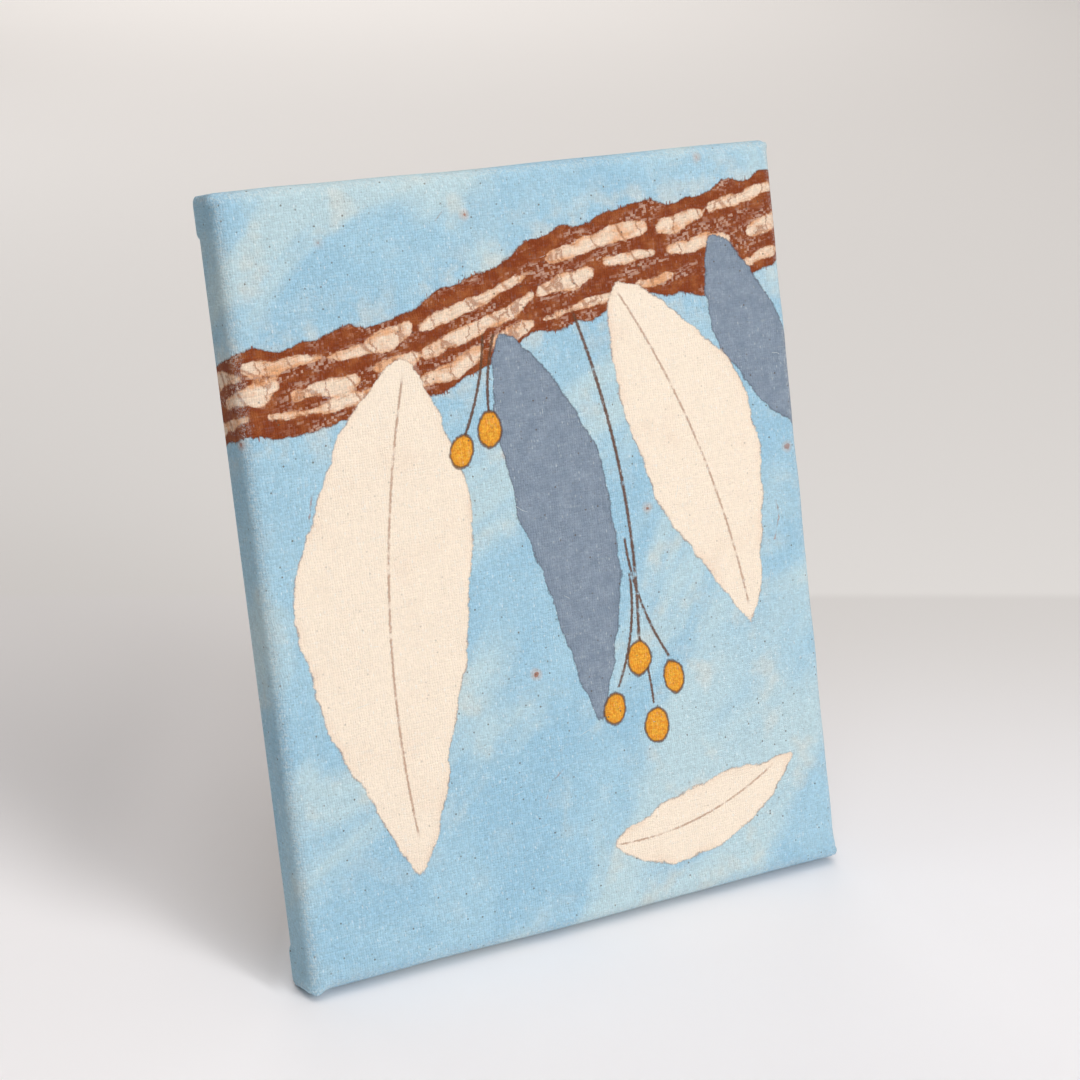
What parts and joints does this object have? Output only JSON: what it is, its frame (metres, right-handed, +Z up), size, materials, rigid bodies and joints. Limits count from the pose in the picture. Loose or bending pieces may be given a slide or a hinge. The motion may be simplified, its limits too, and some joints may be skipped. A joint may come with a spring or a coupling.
{
  "type": "stretched canvas picture",
  "caption": "Small cotton picture wrapped round mitred stretcher bars, standing and leaning back on a plain wooden base fixed behind it.",
  "frame": {"origin": "on the floor, under the middle of the whole thing's box", "axes": "+Z up, the picture faces -Y and leans back towards +Y, +X to the right as the picture is looked at"},
  "size_m": [0.2064, 0.1016, 0.2512],
  "materials": {
    "dyed_cotton": "plain weave, resist-dyed, matt",
    "pine": "bare planed softwood",
    "beech": "bare sawn hardwood",
    "stand_birch": "sanded, thin clear oil",
    "zinc_steel": "zinc plated"
  },
  "bodies": {
    "root": {"canvas_cloth": "dyed_cotton", "bar_top": "pine", "bar_bottom": "pine", "bar_left": "pine", "bar_right": "pine", "key_top_left_upright": "beech", "key_top_left_level": "beech", "key_top_right_upright": "beech", "key_top_right_level": "beech", "key_bottom_left_upright": "beech", "key_bottom_left_level": "beech", "key_bottom_right_upright": "beech", "key_bottom_right_level": "beech", "stand_board": "stand_birch", "stand_cleat": "stand_birch", "stand_screw_left": "zinc_steel", "stand_screw_right": "zinc_steel"}
  },
  "joints": []
}
